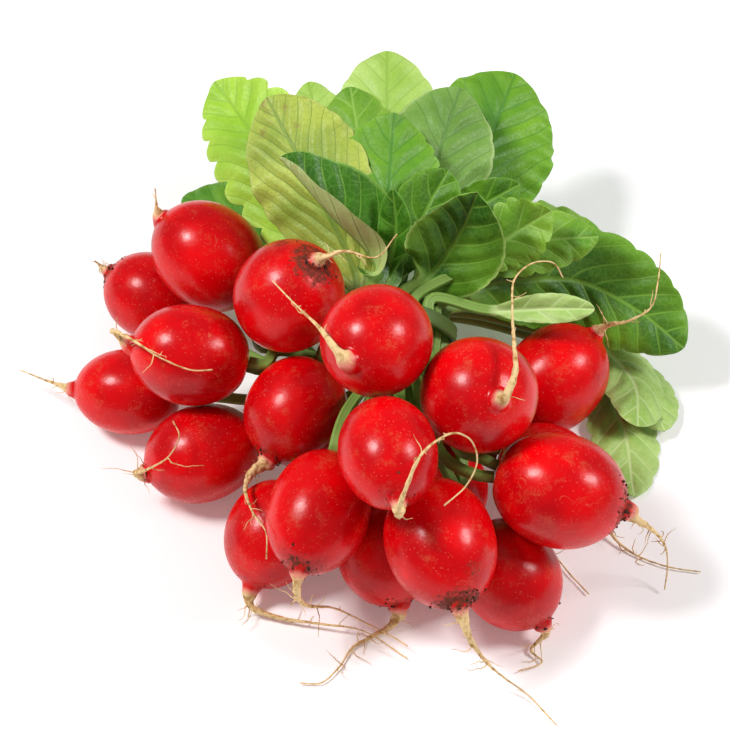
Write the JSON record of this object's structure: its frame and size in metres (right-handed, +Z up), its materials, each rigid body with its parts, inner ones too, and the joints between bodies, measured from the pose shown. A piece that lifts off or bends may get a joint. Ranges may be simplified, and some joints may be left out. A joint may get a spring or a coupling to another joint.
{
  "type": "bunch of radishes",
  "caption": "Tied bunch of fresh red radishes with their roots and leaves on, lying on its side with the radishes heaped in front of the leaves.",
  "frame": {"origin": "middle of the bunch's box, on the surface it lies on", "axes": "+Z up, -Y towards the radishes and roots, +Y towards the leaf tips, +X to the right seen from the radishes"},
  "size_m": [0.212, 0.2258, 0.0894],
  "materials": {
    "radish_skin": "waxy red skin with fine pale specks, dusty patches and soil near the root",
    "leaf_green": "fresh veined leaf, darker above and paler beneath, with pale green stalks",
    "band_rubber": "plain natural rubber band"
  },
  "bodies": {
    "root": {"radish_01": "radish_skin", "radish_02": "radish_skin", "radish_03": "radish_skin", "radish_04": "radish_skin", "radish_05": "radish_skin", "radish_06": "radish_skin", "radish_07": "radish_skin", "radish_08": "radish_skin", "radish_09": "radish_skin", "radish_10": "radish_skin", "radish_11": "radish_skin", "radish_12": "radish_skin", "radish_13": "radish_skin", "radish_14": "radish_skin", "radish_15": "radish_skin", "radish_16": "radish_skin", "radish_17": "radish_skin", "radish_18": "radish_skin", "radish_19": "radish_skin", "leaf_01": "leaf_green", "leaf_02": "leaf_green", "leaf_03": "leaf_green", "leaf_04": "leaf_green", "leaf_05": "leaf_green", "leaf_06": "leaf_green", "leaf_07": "leaf_green", "leaf_08": "leaf_green", "leaf_09": "leaf_green", "leaf_10": "leaf_green", "leaf_11": "leaf_green", "leaf_12": "leaf_green", "leaf_13": "leaf_green", "leaf_14": "leaf_green", "leaf_15": "leaf_green", "leaf_16": "leaf_green", "leaf_17": "leaf_green", "leaf_18": "leaf_green", "leaf_19": "leaf_green", "leaf_20": "leaf_green", "leaf_21": "leaf_green", "leaf_22": "leaf_green", "leaf_23": "leaf_green", "leaf_24": "leaf_green", "leaf_25": "leaf_green", "leaf_26": "leaf_green", "leaf_27": "leaf_green", "leaf_28": "leaf_green", "leaf_29": "leaf_green", "band": "band_rubber"}
  },
  "joints": []
}
